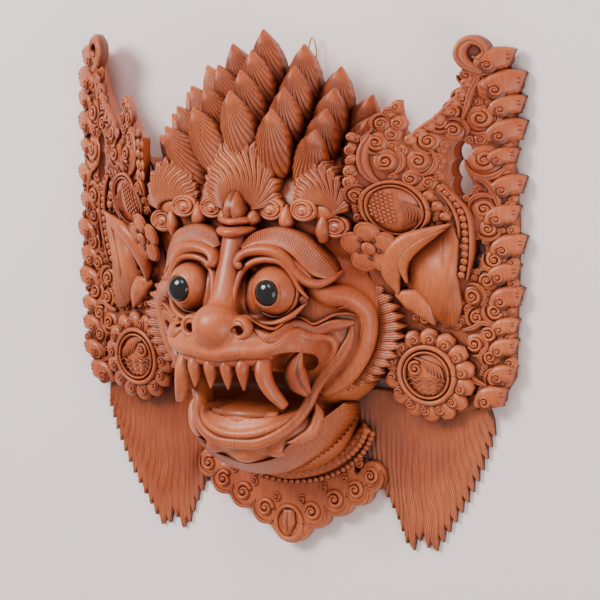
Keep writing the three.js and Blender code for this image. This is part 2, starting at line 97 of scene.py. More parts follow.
panel("key_panel", (-1.0, 1.0, 1.7), 0.9, 50, (1.0, 0.97, 0.93))
panel("fill_panel", (1.9, -0.5, 1.1), 1.4, 22, (1.0, 0.93, 0.85))
panel("top_panel", (0.3, 1.6, 1.6), 1.0, 14, (1.0, 0.98, 0.96))
world = bpy.data.worlds.new("studio")
world.use_nodes = True
sky = world.node_tree.nodes["Background"]
sky.inputs["Color"].default_value = (1.0, 0.93, 0.94, 1)
sky.inputs["Strength"].default_value = 0.44
bpy.context.scene.world = world

floor_mesh = bpy.data.meshes.new("floor")
bm = bmesh.new()
bmesh.ops.create_grid(bm, x_segments=1, y_segments=1, size=6)
bm.to_mesh(floor_mesh)
bm.free()
floor = add_object("floor", floor_mesh)

# %% [markdown]
# The wood is a close-grained orange-brown one, oiled and rubbed. Stain stays in the cuts and
# wears off the ridges. Every carved piece carries a number called cut, 1 in the bottom of a
# groove and 0 on a ridge, and the material reads it, so the dark lines follow the knife.
# The same number also carries painted shade: the inside of the mouth, the ground of the side
# blocks and small dark balls in eyes, gaps and curls. Deep corners get painted shade too, from
# ambient occlusion that darkens their colour.

# %% Materials
def node(tree, kind, **settings):
    made = tree.nodes.new(kind)
    for name, value in settings.items():
        if name in made.inputs:
            made.inputs[name].default_value = value
        else:
            setattr(made, name, value)
    return made


def mix(tree, factor, first, second, blend="MIX"):
    made = node(tree, "ShaderNodeMix", data_type="RGBA", blend_type=blend)
    for socket, value in ((0, factor), (6, first), (7, second)):
        if isinstance(value, bpy.types.NodeSocket):
            tree.links.new(value, made.inputs[socket])
        else:
            made.inputs[socket].default_value = value
    return made.outputs[2]


def remap(tree, value, **limits):
    """Stretches a value from one range to another."""
    made = node(tree, "ShaderNodeMapRange")
    for name, limit in limits.items():
        made.inputs[name.replace("_", " ").title()].default_value = limit
    tree.links.new(value, made.inputs["Value"])
    return made.outputs["Result"]


def speckle(tree, shader, scale, detail, dark, light):
    """Colours a material with fine noise between two tones."""
    spots = node(tree, "ShaderNodeTexNoise", Scale=scale, Detail=detail)
    tree.links.new(node(tree, "ShaderNodeTexCoord").outputs["Object"], spots.inputs["Vector"])
    tree.links.new(mix(tree, spots.outputs["Fac"], dark, light), shader.inputs["Base Color"])


def new_material(name):
    material = bpy.data.materials.new(name)
    material.use_nodes = True
    return material, material.node_tree, material.node_tree.nodes["Principled BSDF"]


WOOD_LIGHT = (0.64, 0.164, 0.054, 1)
WOOD_MIDDLE = (0.42, 0.078, 0.026, 1)
# The darkest tone serves both the stain in the cuts and the painted shade.
WOOD_STAIN_AND_SHADE = (0.085, 0.012, 0.006, 1)

wood, tree, shader = new_material("carved_wood")
place = node(tree, "ShaderNodeTexCoord").outputs["Object"]
grain_space = node(tree, "ShaderNodeMapping")
grain_space.inputs["Scale"].default_value = (1, 0.09, 1)
tree.links.new(place, grain_space.inputs["Vector"])
grain = node(tree, "ShaderNodeTexNoise", Scale=620.0, Detail=4.0, Roughness=0.6)
tree.links.new(grain_space.outputs["Vector"], grain.inputs["Vector"])
figure = node(tree, "ShaderNodeTexNoise", Scale=16.0, Detail=3.0, Roughness=0.55)
tree.links.new(place, figure.inputs["Vector"])
patches = remap(tree, figure.outputs["Fac"], from_min=0.32, from_max=0.68)
tone = mix(tree, patches, WOOD_MIDDLE, WOOD_LIGHT)
streaks = remap(tree, grain.outputs["Fac"], from_min=0.3, from_max=0.7, to_min=0.74, to_max=1.12)
tone = mix(tree, 1.0, tone, streaks, "MULTIPLY")
# Stain and painted shade: the cut number darkens grooves with stain, and the mouth, the side blocks'
# ground and small dark balls with painted shade.
cut = node(tree, "ShaderNodeAttribute", attribute_name="cut")
stain_and_painted_shade = node(tree, "ShaderNodeMath", operation="MULTIPLY")
stain_and_painted_shade.inputs[1].default_value = 0.8
tree.links.new(cut.outputs["Fac"], stain_and_painted_shade.inputs[0])
tone = mix(tree, stain_and_painted_shade.outputs[0], tone, WOOD_STAIN_AND_SHADE)
# Painted shade: ambient occlusion darkens the colour towards the darkest tone in deep corners.
hollow = node(tree, "ShaderNodeAmbientOcclusion", samples=8)
hollow.inputs["Distance"].default_value = 0.014
unshaded_share = remap(tree, hollow.outputs["AO"], from_min=0.25, from_max=0.8)
tone = mix(tree, unshaded_share, WOOD_STAIN_AND_SHADE, tone)
tree.links.new(tone, shader.inputs["Base Color"])
polish = remap(tree, figure.outputs["Fac"], to_min=0.30, to_max=0.47)
tree.links.new(polish, shader.inputs["Roughness"])
relief = node(tree, "ShaderNodeBump", Strength=0.35, Distance=0.0003)
tree.links.new(grain.outputs["Fac"], relief.inputs["Height"])
tree.links.new(relief.outputs["Normal"], shader.inputs["Normal"])

black, tree, shader = new_material("black_pupil")
speckle(tree, shader, 260.0, 2.0, (0.006, 0.006, 0.006, 1), (0.022, 0.02, 0.018, 1))
shader.inputs["Roughness"].default_value = 0.12

brass, tree, shader = new_material("brass_wire")
speckle(tree, shader, 900.0, 3.0, (0.30, 0.19, 0.07, 1), (0.55, 0.38, 0.15, 1))
shader.inputs["Metallic"].default_value = 1.0
shader.inputs["Roughness"].default_value = 0.4

paper, tree, shader = new_material("floor")
shader.inputs["Base Color"].default_value = (0.98, 0.875, 0.87, 1)
shader.inputs["Roughness"].default_value = 0.9
floor.data.materials.append(paper)
print("materials", [m.name for m in (wood, black, brass, paper)])

# %% [markdown]
# Almost every carved form here is a tapering band: a leaf, a lock of hair, a lip, a scroll.
# A band starts as a flat grid. Its long way follows a smooth path and its short way gets a
# rounded top, with lengthwise cuts for strands, cross cuts for hatching or cuts that spread
# from one spot. A fan is a sheet of strands between two curves. The rim of either is then
# pulled down into the wood and closed, so each one is a whole solid.

# %% Paths and bands
FIRST_RAY = 0.5
RAY_CLEARANCE = 6
DEEPEST_TOOTH = 0.45
SIDE_DROP, TIP_DROP = 0.6, 0.35


def smooth_path(points, count, closed=False):
    """Evenly spaced places along a smooth curve through the points, and its length."""
    known = [np.array(p, float) for p in points]
    if closed:
        known = [known[-1]] + known + [known[0], known[1]]
    else:
        known = [2 * known[0] - known[1]] + known + [2 * known[-1] - known[-2]]
    steps = np.linspace(0, 1, 13)[:-1, None]
    pieces = []
    for a, b, c, d in zip(known, known[1:], known[2:], known[3:]):
        pieces.append(0.5 * (2 * b + (c - a) * steps + (2 * a - 5 * b + 4 * c - d) * steps ** 2
                             + (3 * b - a - 3 * c + d) * steps ** 3))
    pieces.append(known[-2][None, :])
    dense = np.concatenate(pieces)
    run = np.concatenate([[0], np.cumsum(np.linalg.norm(np.diff(dense, axis=0), axis=1))])
    wanted = np.linspace(0, run[-1], count)
    return np.stack([np.interp(wanted, run, dense[:, k]) for k in range(3)], axis=1), run[-1]


def trail(points, spots=300):
    """A smooth path as a place for each share from 0 to 1 of its length."""
    places = smooth_path(points, spots + 1)[0]

    def place_at(share):
        spot = min(share, 0.99999) * spots
        return blend(places[int(spot)], places[int(spot) + 1], spot - int(spot))
    return place_at


def unit(rows):
    return rows / np.maximum(np.linalg.norm(rows, axis=1, keepdims=True), 1e-9)


def blend(a, b, k):
    return a + (b - a) * k


def new_carving():
    carving = bmesh.new()
    carving.verts.layers.float.new("cut")
    return carving


def as_mesh(carving, name):
    """Ends a carving and hands back its mesh."""
    mesh = bpy.data.meshes.new(name)
    carving.to_mesh(mesh)
    carving.free()
    return mesh


def resize(carving, factor):
    bmesh.ops.scale(carving, verts=carving.verts[:], vec=(factor, factor, factor))


def close_down(carving, verts, drop, share):
    """Pulls a sheet's rim down by its share of drop and closes it underneath."""
    own = set(verts)
    rim = [e for e in {e for v in verts for e in v.link_edges} if e.is_boundary and set(e.verts) <= own]
    skirt = bmesh.ops.extrude_edge_only(carving, edges=rim)["geom"]
    low = [g for g in skirt if isinstance(g, bmesh.types.BMVert)]
    for vert in low:
        above = next(e.other_vert(vert) for e in vert.link_edges if e.other_vert(vert) in own)
        vert.co += Vector(drop) * share[above]
    foot = [g for g in skirt if isinstance(g, bmesh.types.BMEdge) and g.is_boundary]
    bmesh.ops.edgeloop_fill(carving, edges=foot)


def lay_sheet(carving, cells, cuts, drop, both, thin=None):
    """Lays a flat grid over rows of places, marks its cuts and closes it underneath."""
    nu, nv = cells.shape[0] - 1, cells.shape[1] - 1
    mark = carving.verts.layers.float["cut"]
    for sign in ((1, -1) if both else (1,)):
        made = bmesh.ops.create_grid(carving, x_segments=nu, y_segments=nv, size=1)["verts"]
        share = {}
        for vert in made:
            i = round((vert.co.x + 1) / 2 * nu)
            j = round((vert.co.y + 1) / 2 * nv)
            x, y, z = cells[i, j]
            vert[mark] = cuts[i, j]
            vert.co = (sign * x, y, z)
            share[vert] = 1.0 if thin is None else thin[i]
        close_down(carving, made, (sign * drop[0], drop[1], drop[2]), share)


def notch(wave):
    """Narrow cuts where a wave crosses zero."""
    return (1 - np.abs(np.sin(np.pi * wave))) ** 2


def band(carving, points, halves, height=2.0, strands=1, hatch=0, slant=0.0, groove=0.6, depth=3.0,
         crown=2.5, up=(0, 0, 1), closed=False, both=False, step=2.0, rays=0, focus=(0, 1, 2)):
    """A tapering carved strip along a path; sizes in millimetres.

    Its rays spread from a focus: a place across, a place along and the last ray's angle.
    """
    _, length = smooth_path(points, 3, closed)
    nu = int(max(6, length / step, hatch * 4))
    nv = int(max(6, strands * 4, rays * 2))
    path, _ = smooth_path(points, nu + 1, closed)
    along = np.gradient(path, axis=0)
    if closed:
        along[0] = along[-1] = (path[1] - path[-2]) / 2
    along = unit(along)
    side = unit(np.cross(along, np.array(up, float)))
    lift = np.cross(side, along)
    t = np.linspace(0, 1, nu + 1)[:, None]
    s = np.linspace(-1, 1, nv + 1)[None, :]
    half = np.interp(t, np.linspace(0, 1, len(halves)), halves)
    cuts = np.zeros((nu + 1, nv + 1))
    if strands > 1:
        cuts = np.maximum(cuts, notch(strands * (s + 1) / 2) + 0 * t)
    if hatch:
        cuts = np.maximum(cuts, notch(hatch * t + slant * np.abs(s)) * (np.abs(s) < 0.8))
    if rays:
        place_across, place_along, last_angle = focus
        away, down = (s - place_across) * half, (place_along - t) * length
        turn = np.arctan2(down, away)
        ray = notch(rays * turn / math.pi) ** 0.7 * (turn > FIRST_RAY) * (turn < last_angle)
        cuts = np.maximum(cuts, ray * np.clip(np.hypot(away, down) / RAY_CLEARANCE - 0.7, 0, 1))
    dome = (1 - np.abs(s) ** crown) * np.sqrt(half / max(halves))
    rise = height * dome - groove * cuts
    cells = (path[:, None, :] + side[:, None, :] * (half * s)[..., None]
             + lift[:, None, :] * rise[..., None])
    thin = np.clip(half[:, 0] / max(halves), 0.02, 1) ** 0.8
    lay_sheet(carving, cells, cuts, -np.array(up, float) * depth, both, thin)


def fan(carving, inner, outer, teeth, strands, height=3.0, groove=0.6, saw=0.14, bend=0.06, depth=8.0,
        start=0.0, both=False, rows=18, per_strand=4, waves=1.0, puff=0.0, point=1.8):
    """A sheet of fine strands that spread from an inner edge to a toothed outer edge.

    A saw under 1 is the teeth's share of each strand, and over 1 their length in millimetres.
    """
    nu = strands * per_strand
    u = np.linspace(0, 1, nu + 1)
    v = np.linspace(0, 1, rows + 1)
    tooth = 1 - np.abs(2 * ((teeth * u) % 1.0) - 1) ** point if teeth else np.ones_like(u)
    low, high = np.array([inner(k) for k in u]), np.array([outer(k) for k in u])
    if saw > 1:
        saw = np.minimum(DEEPEST_TOOTH, saw / np.linalg.norm(high - low, axis=1))
    cells = np.zeros((nu + 1, rows + 1, 3))
    cuts = np.zeros((nu + 1, rows + 1))
    for j, k in enumerate(v):
        swing = np.clip(u + bend * math.sin(math.pi * k * waves) * (1 - 2 * np.abs(u - 0.5)), 0, 1)
        reach = k * (1 - saw * (1 - tooth))
        inside = np.stack([np.interp(swing, u, low[:, c]) for c in range(3)], axis=1)
        outside = np.stack([np.interp(swing, u, high[:, c]) for c in range(3)], axis=1)
        cells[:, j] = blend(inside, outside, reach[:, None])
        line = notch(strands * u) * (1.0 if k >= start else 0.0)
        cells[:, j, 2] += height * (0.75 + 0.25 * math.sin(math.pi * min(1, 1.2 * k))) - groove * line
        cells[:, j, 2] += puff * min(1, 2 * k) * (np.sqrt(np.abs(np.sin(math.pi * teeth * u))) - 0.6)
        cuts[:, j] = line
    cells[[0, -1], :, 2] -= height * SIDE_DROP
    cells[:, -1, 2] -= height * TIP_DROP
    lay_sheet(carving, cells, cuts, (0, 0, -depth), both)


def placed(centre, radii):
    """The matrix that gives a unit form its centre and its radii."""
    return Matrix.Translation(centre) @ Matrix.Diagonal((*radii, 1))


def disc(carving, centre, radius, depth, segments):
    bmesh.ops.create_cone(carving, cap_ends=True, segments=segments, radius1=radius, radius2=radius,
                          depth=depth, matrix=Matrix.Translation(centre))


def ball(carving, centre, radii, segments, rings):
    made = bmesh.ops.create_uvsphere(carving, u_segments=segments, v_segments=rings, radius=1,
                                     matrix=placed(centre, radii))
    return made["verts"]


def bead(carving, centre, radii, both=False, rough=0.0, fine=12):
    """A ball or flat oval; rough is how dark it is painted, for painted shade."""
    for sign in ((1, -1) if both else (1,)):
        place = (sign * centre[0], centre[1], centre[2])
        for vert in ball(carving, place, radii, fine, max(6, fine * 2 // 3)):
            vert[carving.verts.layers.float["cut"]] = rough


def coil(centre, radius, turns=1.6, start=0.0, hand=1, lift=0.0, inner=0.22, rise=1.5):
    """Points of a scroll that winds in from its rim."""
    places = []
    for k in np.linspace(0, 1, int(8 * turns) + 2):
        reach = radius * (1 - (1 - inner) * k)
        turn = start + hand * turns * 2 * math.pi * k
        x, y = centre[0] + reach * math.cos(turn), centre[1] + reach * math.sin(turn)
        places.append((x, y, lift + rise * k))
    return places


def scroll(carving, centre, radius, lift, start=0.0, hand=1, both=False):
    """A rolled scroll with a round eye."""
    size = min(1.0, radius / 7)
    band(carving, coil(centre, radius * 0.78, start=start, hand=hand, lift=lift),
         [radius * 0.24, radius * 0.24, radius * 0.2, radius * 0.12], height=2.4 * size, depth=5,
         both=both, step=1.3)
    bead(carving, (centre[0], centre[1], lift + 1.4), (radius * 0.24, radius * 0.24, 2.4 * size),
         both=both, fine=8)


def finish_piece(carving, name, *nodes, look=(wood, "carved_wood")):
    """Makes a carving a piece of the scene; look is its material and a slot name, which is not used."""
    material, slot = look
    bmesh.ops.recalc_face_normals(carving, faces=carving.faces[:])
    resize(carving, MM)
    mesh = as_mesh(carving, name)
    mesh.materials.append(material)
    for face in mesh.polygons:
        face.use_smooth = True
    piece = add_object(name, mesh)
    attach(piece, "root")
    if nodes:
        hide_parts(*nodes)
    print(name, sum(len(p.vertices) - 2 for p in mesh.polygons), "triangles")

# %% [markdown]
# Under the ornament is the plain head: swellings for the crown, brow, face, muzzle, jaw and
# nose, with the cheeks and lips laid on. Separate forms would meet in hard creases, so a voxel
# remesh melts them into one skin, the way a rasp blends forms. The mouth, the nostrils and the
# hollow back are then cut out of it.

# %% Head
HEAD_VOXEL = 1.8 * MM
PLATE_VOXEL = 2.2 * MM
GLUE_FACE = 94
FACING = (0.45, 0, 0.89)
head_forms = [
    ((0, 64, -14), (96, 100, 74)), ((0, -12, 20), (106, 92, 64)), ((0, -36, 66), (66, 25, 55)),
    ((0, -104, 42), (60, 31, 45)), ((0, -119, 50), (31, 17, 30)), ((0, -98, 14), (64, 46, 40)),
    ((0, -22, 111.5), (19.5, 18, 18.5)), ((0, -124, 70), (13, 7, 10)),
]
paired_forms = [
    ((22, -22, 106), (9.5, 9.5, 11)), ((27, -118, 70), (11, 7, 9)), ((21, 0, 82), (11, 22, 15)),
]
SKULL_CENTRE, SKULL_RADII = (0, 62, -20), (200, 72, 94)
MOUTH_CENTRE, MOUTH_RADII = (0, -75, 88), (64, 20, 58)
# Painted shade in the mouth begins below this height and deepens over this depth.
MOUTH_SHADE_TOP, MOUTH_SHADE_DEPTH = 82, 24


def settle(name, carving, voxel, rounds):
    """Melts overlapping forms into one skin and returns it as a mesh."""
    resize(carving, MM)
    rough = add_object(name, as_mesh(carving, name))
    melt = rough.modifiers.new("melt", "REMESH")
    melt.mode = "VOXEL"
    melt.voxel_size = voxel
    rub = rough.modifiers.new("rub", "SMOOTH")
    rub.iterations = rounds
    rub.factor = 0.5
    bpy.context.view_layer.update()
    graph = bpy.context.evaluated_depsgraph_get()
    done = bpy.data.meshes.new_from_object(rough.evaluated_get(graph))
    bpy.data.objects.remove(rough)
    return done


def reopen(mesh):
    """Takes a settled mesh back to the bench as a carving in millimetres."""
    carving = new_carving()
    carving.from_mesh(mesh)
    resize(carving, 1 / MM)
    return carving


def cut_away(mesh, forms):
    """Cuts each round form out of a mesh in turn."""
    body = add_object("body", mesh)
    for centre, radii in forms:
        cutter = bmesh.new()
        ball(cutter, Vector(centre) * MM, [r * MM for r in radii], 48, 28)
        tool = add_object("tool", as_mesh(cutter, "tool"))
        slice_ = body.modifiers.new("slice", "BOOLEAN")
        slice_.operation = "DIFFERENCE"
        slice_.solver = "EXACT"
        slice_.object = tool
        bpy.context.view_layer.update()
        graph = bpy.context.evaluated_depsgraph_get()
        fresh = bpy.data.meshes.new_from_object(body.evaluated_get(graph))
        body.modifiers.clear()
        body.data = fresh
        bpy.data.objects.remove(tool)
    bpy.data.objects.remove(body)
    return fresh


def saw_off(block, place, facing):
    """Cuts away all that lies beyond a plane and closes the cut."""
    whole = block.verts[:] + block.edges[:] + block.faces[:]
    bmesh.ops.bisect_plane(block, geom=whole, plane_co=place, plane_no=facing, clear_outer=True)
    bmesh.ops.holes_fill(block, edges=[e for e in block.edges if e.is_boundary])


def flat_back(mesh):
    """Cuts a mesh flat at the plane that the mask lies on."""
    flat = bmesh.new()
    flat.from_mesh(mesh)
    saw_off(flat, (0, 0, 0), (0, 0, -1))
    flat.to_mesh(mesh)
    flat.free()


def face_band(carving, points, halves, height, depth, **more):
    """A band on the face and its mirror image, both leaning outwards."""
    band(carving, points, halves, height=height, depth=depth, up=FACING, both=True, **more)


carving = new_carving()
for centre, radii in head_forms:
    bead(carving, centre, radii, fine=40)
for centre, radii in paired_forms:
    bead(carving, centre, radii, both=True, fine=28)
skull = bmesh.new()
ball(skull, SKULL_CENTRE, SKULL_RADII, 56, 36)
for sign in (1, -1):
    saw_off(skull, (sign * (GLUE_FACE - 1), 0, 0), (sign, 0, 0))
carving.from_mesh(as_mesh(skull, "skull"))

# The bridge of the nose, cheeks, lips and lids are laid on before the skin is melted
band(carving, [(0, 48, 88), (0, 36, 92), (0, 18, 98), (0, 2, 104), (0, -14, 112)],
     [10.5, 10.5, 10.5, 11, 13], height=7, depth=26, crown=2.4)
cheek = [(58, 8, 76), (72, 2, 70), (84, 0, 61), (93, -9, 52), (95, -22, 48), (91, -38, 47),
         (82, -53, 48), (69, -67, 50), (56, -76, 51)]
face_band(carving, cheek, [4, 8, 9, 8.5, 8, 8, 8, 7, 3], 6, 18, crown=2.2)
lips = [(0, -43, 116), (10, -42, 116), (24, -40, 114), (36, -40, 109), (47, -36, 103), (53, -29, 95),
        (57, -26, 87), (63, -30, 80), (69, -30, 69), (74, -34, 63), (73, -43, 61), (66, -53, 61),
        (57, -64, 61), (49, -76, 60), (44, -87, 63), (38, -95, 74), (27, -102, 82), (13, -106, 86),
        (0, -107, 87)]
face_band(carving, lips, [6.4, 6.4, 6, 5.4, 4.8, 4.2] + [3.8] * 13, 5, 12, crown=2.2)
eye_hood = [(14, 24, 90), (26, 31, 90), (44, 30, 87), (58, 21, 82), (66, 10, 76)]
face_band(carving, eye_hood, [5, 7, 7.5, 6.5, 3], 6, 14, crown=2.2)
skin = settle("skin", carving, HEAD_VOXEL, 4)
flat_back(skin)
mouth = [(MOUTH_CENTRE, MOUTH_RADII), ((50, -50, 84), (17, 11, 26)), ((-50, -50, 84), (17, 11, 26))]
back = [((0, 40, 0), (77, 71, 45)), ((0, -10, 0), (77, 58, 47))]
nostrils = [((22, -24, 118), (4.6, 4, 9)), ((-22, -24, 118), (4.6, 4, 9))]
skin = cut_away(skin, mouth + back + nostrils)
carving = reopen(skin)
dark = carving.verts.layers.float["cut"]
# Painted shade: the inside of the mouth is darkened more the deeper it lies, through the cut number.
for vert in carving.verts:
    reach = math.hypot(*((vert.co[k] - MOUTH_CENTRE[k]) / (MOUTH_RADII[k] + 1) for k in range(3)))
    if reach < 1.0 and vert.co.z < MOUTH_SHADE_TOP:
        vert[dark] = min(0.9, (MOUTH_SHADE_TOP - vert.co.z) / MOUTH_SHADE_DEPTH)
finish_piece(carving, "head", "face_block")

# %% [markdown]
# The crown is four rows of pointed leaf pods that fan out over the skull. Each has cuts that
# spread from a spot under its tip; towards the left of the crown that spot moves to the pod's
# left, so the left flank stays smooth. One rule of column and row places them all.

# %% Crown pods
POD_COLUMNS, POD_ROWS, POD_LENGTH, POD_HALF = 7, 4, 58, 15.5
POD_OUTLINE = [0.55, 0.88, 1.0, 0.97, 0.80, 0.5, 0.03]
CROWN_MIDDLE = 20
POD_TURN, POD_LEAN, POD_RISE = (16.5, 11), (14, 9), (0.36, 0.12)


def pod_path(column, row):
    """Root, middle and tip of a pod. Pairs of sizes are for the front row and the back row."""
    back_share = row / (POD_ROWS - 1)
    aside = min(abs(column), 1)
    reach = blend(136 - 8 * aside, 182 - 8 * abs(column), back_share)
    turn = math.radians(blend(*POD_TURN, back_share)) * column
    height = blend(94 - 3.4 * column ** 2, 48 - 7.0 * abs(column), back_share)
    tip = np.array([reach * math.sin(turn), CROWN_MIDDLE + reach * math.cos(turn), height])
    lean = math.radians(blend(*POD_LEAN, back_share)) * column
    axis = np.array([math.sin(lean), math.cos(lean), blend(*POD_RISE, back_share)])
    axis /= np.linalg.norm(axis)
    root = tip - axis * POD_LENGTH - np.array([0, 0, 2])
    middle = tip - axis * POD_LENGTH / 2 + np.array([0, 0, 1.5])
    return [root, middle, tip]


carving = new_carving()
for row in range(POD_ROWS):
    for from_left in range(POD_COLUMNS):
        band(carving, pod_path(from_left - POD_COLUMNS // 2, row), [POD_HALF * k for k in POD_OUTLINE],
             height=10, groove=1.5, depth=11, crown=1.6, step=1.5, rays=32,
             focus=(-0.5 + 0.14 * from_left, 0.96, 1.68 + 0.16 * from_left))
finish_piece(carving, "crown_pods")

# %% [markdown]
# Three fans stand on the forehead, with a small ringed horn before the middle one. A fan is
# a bunch of tufts that spread from one root, each cut into three strands.

# %% Fans, horn and forehead beads
def ellipse(centre, rx, ry, degrees, drop=0.0):
    turn = math.radians(degrees)
    return np.array([centre[0] + rx * math.cos(turn), centre[1] + ry * math.sin(turn), centre[2] - drop])


def hoop(carving, centre, rx, ry, half, height, depth, every=20, turn=0, both=False, step=1.6):
    """A closed ring round a centre."""
    ring = [ellipse(centre, rx, ry, a + turn) for a in range(0, 360, every)]
    band(carving, ring, [half, half], height=height, depth=depth, closed=True, both=both, step=step)


def forehead_fan(carving, root, tips, droop, tufts, puff, both=False):
    """A fan from a small ellipse to a large one, each given by its centre and radii."""
    fan(carving, lambda u: ellipse(*root, blend(190, -10, u)),
        lambda u: ellipse(*tips, blend(192, -12, u), droop * (2 * u - 1) ** 2), tufts, tufts * 3,
        height=4, groove=0.8, saw=0.17, bend=0.10, depth=16, waves=1.6, puff=puff, point=1.5, both=both)


carving = new_carving()
forehead_fan(carving, ((0, 66, 82), 13, 6), ((0, 78, 82), 34, 46), 8, 15, 0.9)
forehead_fan(carving, ((68, 64, 74), 12, 6), ((68, 72, 75), 25, 32), 6, 12, 0.8, both=True)
bead(carving, (68, 66, 70), (15, 8, 5), both=True, fine=20)
band(carving, [(0, 58, 86), (0, 65, 90), (0, 72, 88), (0, 80, 80)], [8.5, 9.6, 7.4, 0.5],
     height=7, strands=2, groove=3.2, depth=14, crown=2)
band(carving, [(-13, 57, 82), (-8, 57, 90), (0, 56, 93), (8, 57, 90), (13, 57, 82)],
     [2.6, 3.2, 3.4, 3.2, 2.6], height=3.4, depth=10)
band(carving, [(-14, 50, 84), (-9, 49, 93), (0, 48, 97), (9, 49, 93), (14, 50, 84)],
     [3, 3.8, 4.2, 3.8, 3], height=3.6, depth=10)
for centre, turn in (((27, 66, 76), 12), ((55, 66, 74), -4), ((80, 54, 67), -50)):
    for size in (1.0, 0.72, 0.42):
        hoop(carving, (centre[0], centre[1], centre[2] + 5 - 3 * size), 10.5 * size, 7.4 * size,
             1.7 * size + 0.2, 1.8, 6, every=30, turn=turn, both=True, step=1.5)
    bead(carving, (centre[0], centre[1] - 1, centre[2] + 2), (9, 6, 3.4), both=True, fine=18)
    bead(carving, (centre[0], centre[1] - 2, centre[2] + 5), (2.6, 2.2, 2), both=True, fine=12)
leaf_drops = (((40, 50, 77), (41, 70, 77)), ((68, 42, 70), (71, 66, 70)), ((12, 54, 82), (15, 66, 80)))
for root, tip in leaf_drops:
    middle = blend(np.array(root), np.array(tip), 0.4) + (0, 0, 2.5)
    band(carving, [root, middle, tip], [3, 6, 4.4, 0.4], height=4, depth=8, both=True)
finish_piece(carving, "fans_and_horn")

# %% [markdown]
# Heavy brows with a hair fringe stand over bulging eyes in double lids. The fringe is a fan
# and the rest are bands and balls, each with its place on the head and mirrored from right to
# left. The black pupils are half balls let into the eyes.

# %% Brows and eyes
EYE = (38, 5.5, 87.5)
EYEBALL = 19.5
PUPIL = (40, 4.5, 103.8)
PUPIL_RADII = (10, 10, 6.1)
brow_low = trail([(13, 36, 95), (27, 40, 93), (43, 38, 90), (54, 32, 88), (61, 23, 84), (68, 17, 80),
                  (74, 14, 72)])
brow_high = trail([(9, 38, 92), (16, 47, 88), (29, 52, 86), (40, 53, 84), (52, 50, 82), (60, 46, 80),
                   (68, 37, 76), (73, 30, 72), (79, 18, 66)])

carving = new_carving()
brow = [(13, 22, 102), (11, 27, 101), (16, 33, 99), (28, 36, 97), (40, 35, 95), (49, 29, 92),
        (55, 20, 89), (62, 13, 84), (69, 11, 77), (75, 14, 69), (80, 20, 60)]
face_band(carving, brow, [2.6, 3.4, 4, 4.6, 4.8, 4.8, 4.6, 4.2, 3.8, 3, 1.2], 4.6, 12)
bead(carving, (14, 24, 103), (3, 3, 2.4), both=True, fine=14)
fan(carving, brow_low, brow_high, 0, 46, height=2.4, groove=0.7, saw=0, bend=0, depth=14, start=0.3,
    both=True, rows=12)
bead(carving, EYE, (EYEBALL, EYEBALL, EYEBALL), both=True, fine=48)
hoop(carving, (EYE[0], EYE[1], EYE[2] + 2.0), 20.4, 20.2, 1.1, 1.5, 8, both=True)
hoop(carving, (*PUPIL[:2], 103.4), 10.9, 10.9, 1.0, 0.9, 9, every=24, both=True, step=1.5)
lid = [(13, -15, 108), (10, -6, 104), (10, 6, 101), (13, 18, 98), (21, 26, 96), (33, 29, 95),
       (46, 27, 93), (54, 18, 91), (59, 8, 89), (64, 0, 84)]
face_band(carving, lid, [1.2, 2.2, 2.6, 2.8, 3, 3, 3, 2.6, 2.2, 1], 3.2, 16)
low_lid = [(20, -16, 103), (30, -19, 98), (42, -19, 95), (54, -13, 91), (63, -3, 84)]
face_band(carving, low_lid, [1, 2, 2.4, 2.2, 1], 2.2, 12)
# A dark ball in the corner of each eye is painted shade.
bead(carving, (61.5, -1, 86), (3.6, 3.6, 3.6), both=True, rough=1.0, fine=14)
finish_piece(carving, "brows_and_eyes")

carving = new_carving()
for sign in (1, -1):
    for vert in ball(carving, (sign * PUPIL[0], PUPIL[1], PUPIL[2]), PUPIL_RADII, 36, 20):
        vert.co.z = max(vert.co.z, PUPIL[2])
bmesh.ops.remove_doubles(carving, verts=carving.verts[:], dist=0.001)
finish_piece(carving, "pupils", "pupil_right", "pupil_left", look=(black, "black_pupil"))

# %% [markdown]
# Hatched whisker bands run from the nose round the corners of the mouth and under the lower
# lip. Four pointed teeth hang from the gum with a tusk on either side, a curled fold stands in
# each corner, and the tongue lies behind them.

# %% Whiskers, lips and teeth
carving = new_carving()
upper_whisker = [(32, -24, 107), (43, -30, 105), (48, -27, 98), (51, -21, 86), (57, -22, 79),
                 (64, -25, 73), (74, -21, 68), (82, -20, 63), (88, -19, 57)]
face_band(carving, upper_whisker, [1.5, 4, 4.6, 4.6, 4.6, 4.6, 4.8, 4.6, 2], 3.4, 12,
          hatch=46, slant=0.6, groove=0.45, crown=6)
whisker_edge = [(29, -16, 108), (36, -21, 103), (44, -23, 99), (47, -18, 88), (50, -15, 80),
                (56, -16, 78), (63, -20, 75), (70, -17, 71), (77, -13, 67), (85, -12, 60), (91, -14, 55)]
face_band(carving, whisker_edge, [0.5, 1.2] + [1.3] * 7 + [1.2, 0.5], 3.4, 8, step=1.5)
face_band(carving, [(80, -8, 66), (87, -7, 60), (92, -13, 55), (93, -21, 53), (91, -32, 53)],
          [0.5, 1.1, 1.2, 1.1, 0.4], 1.6, 8, step=1.5)
lower_whisker = [(87, -21, 58), (85, -32, 58), (77, -46, 60), (66, -58, 62), (56, -71, 62),
                 (50, -86, 65), (44, -98, 74), (33, -107, 81), (18, -113, 85), (0, -114, 86)]
face_band(carving, lower_whisker, [2, 4] + [4.4] * 8, 3.2, 12,
          hatch=78, slant=0.6, groove=0.45, crown=6)
face_band(carving, [(54, -82, 58), (58, -91, 60), (55, -103, 64), (46, -110, 72), (40, -112, 76)],
          [1, 4.6, 5, 4, 0.8], 4, 10)
nostril_rim = coil((22.5, -23.5), 8.4, turns=1.1, start=math.radians(200), hand=-1, lift=113,
                   inner=0.62, rise=1)
